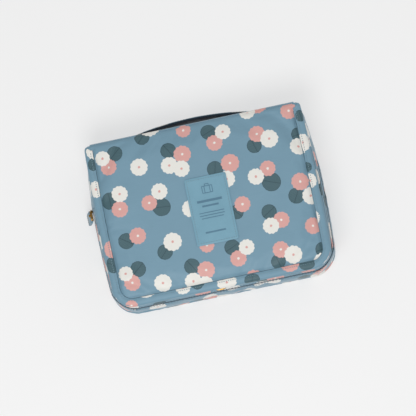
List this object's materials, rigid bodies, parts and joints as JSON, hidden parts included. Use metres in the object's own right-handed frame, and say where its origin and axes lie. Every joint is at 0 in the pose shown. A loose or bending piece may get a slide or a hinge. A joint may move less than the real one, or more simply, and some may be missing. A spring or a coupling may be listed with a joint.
{
  "type": "hanging toiletry bag",
  "caption": "Printed cloth toiletry bag: zipped rear half and lid, a padded cover flap with a zipped mesh pocket, a carry handle and a stowed hanging hook.",
  "frame": {"origin": "middle of the back panel's outer face, on the plane that the closed bag lies on", "axes": "+X across the bag, +Y from the free edge of the flap to the fold and handle, +Z out of the printed front"},
  "size_m": [0.2582, 0.1946, 0.0682],
  "materials": {
    "print_cloth": "satin nylon, printed with blossoms and round leaves",
    "lining_cloth": "plain woven",
    "foam": "matte",
    "zip_tape": "woven",
    "zip_coil": "satin",
    "brass": "antiqued, brushed",
    "mesh": "open mesh",
    "elastic": "ribbed",
    "leatherette": "embossed, semi-matte",
    "webbing": "ribbed",
    "fastener_tape": "hook and loop"
  },
  "bodies": {
    "rear_half": {"back_panel": "print_cloth", "back_foam": "foam", "rear_gusset": "print_cloth", "rear_lining": "lining_cloth", "back_binding": "print_cloth", "fold_gusset": "print_cloth", "zip_tape_rear": "zip_tape", "zip_coil_rear": "zip_coil", "zip_stops": "brass", "bottle_loops": "elastic", "carry_handle": "print_cloth"},
    "lid": {"lid_panel": "print_cloth", "lid_foam": "foam", "lid_gusset": "print_cloth", "lid_lining": "lining_cloth", "lid_binding": "print_cloth", "zip_tape_lid": "zip_tape", "zip_coil_lid": "zip_coil", "mesh_pocket_left": "mesh", "mesh_pocket_right": "mesh", "pocket_elastic_left": "elastic", "pocket_elastic_right": "elastic", "lid_fastener_pads": "fastener_tape", "flap_hinge": "print_cloth"},
    "flap": {"flap_panel": "print_cloth", "flap_foam": "foam", "flap_lining": "lining_cloth", "flap_binding": "print_cloth", "label_patch": "leatherette", "flap_pocket_mesh": "mesh", "flap_pocket_trim": "webbing", "pocket_zip_tape": "zip_tape", "pocket_zip_coil": "zip_coil", "hook_sleeve": "webbing", "flap_fastener_pads": "fastener_tape"},
    "hook": {"hanging_hook": "brass", "hook_webbing": "webbing"},
    "main_slider": {"zip_slider": "brass"},
    "link": {"puller_link": "brass"},
    "tab": {"puller_tab": "print_cloth"},
    "pocket_slider": {"pocket_slider": "brass", "pocket_pull": "webbing"}
  },
  "joints": [
    {"name": "lid_fold", "type": "hinge", "parent": "rear_half", "child": "lid", "pos_m": [0, 0.0894, 0.04], "axis": [-1, 0, 0], "range_deg": [0, 80], "deforming": ["fold_gusset"]},
    {"name": "flap_fold", "type": "hinge", "parent": "lid", "child": "flap", "pos_m": [0, 0.0916, 0.067], "axis": [-1, 0, 0], "range_deg": [0, 178], "deforming": ["flap_hinge"]},
    {"name": "hook_pull", "type": "slide", "parent": "flap", "child": "hook", "axis": [0, -1, 0], "range_m": [0, 0.024]},
    {"name": "zip_slide", "type": "slide", "parent": "rear_half", "child": "main_slider", "axis": [0, -1, 0], "range_m": [0, 0.06]},
    {"name": "link_swing", "type": "hinge", "parent": "main_slider", "child": "link", "pos_m": [-0.12721, 0.019, 0.04], "axis": [0, 1, 0], "range_deg": [0, 90]},
    {"name": "tab_swing", "type": "hinge", "parent": "link", "child": "tab", "pos_m": [-0.12721, 0.019, 0.034], "axis": [0, 1, 0], "range_deg": [0, 80]},
    {"name": "pocket_zip_slide", "type": "slide", "parent": "flap", "child": "pocket_slider", "axis": [1, 0, 0], "range_m": [0, 0.188]}
  ]
}
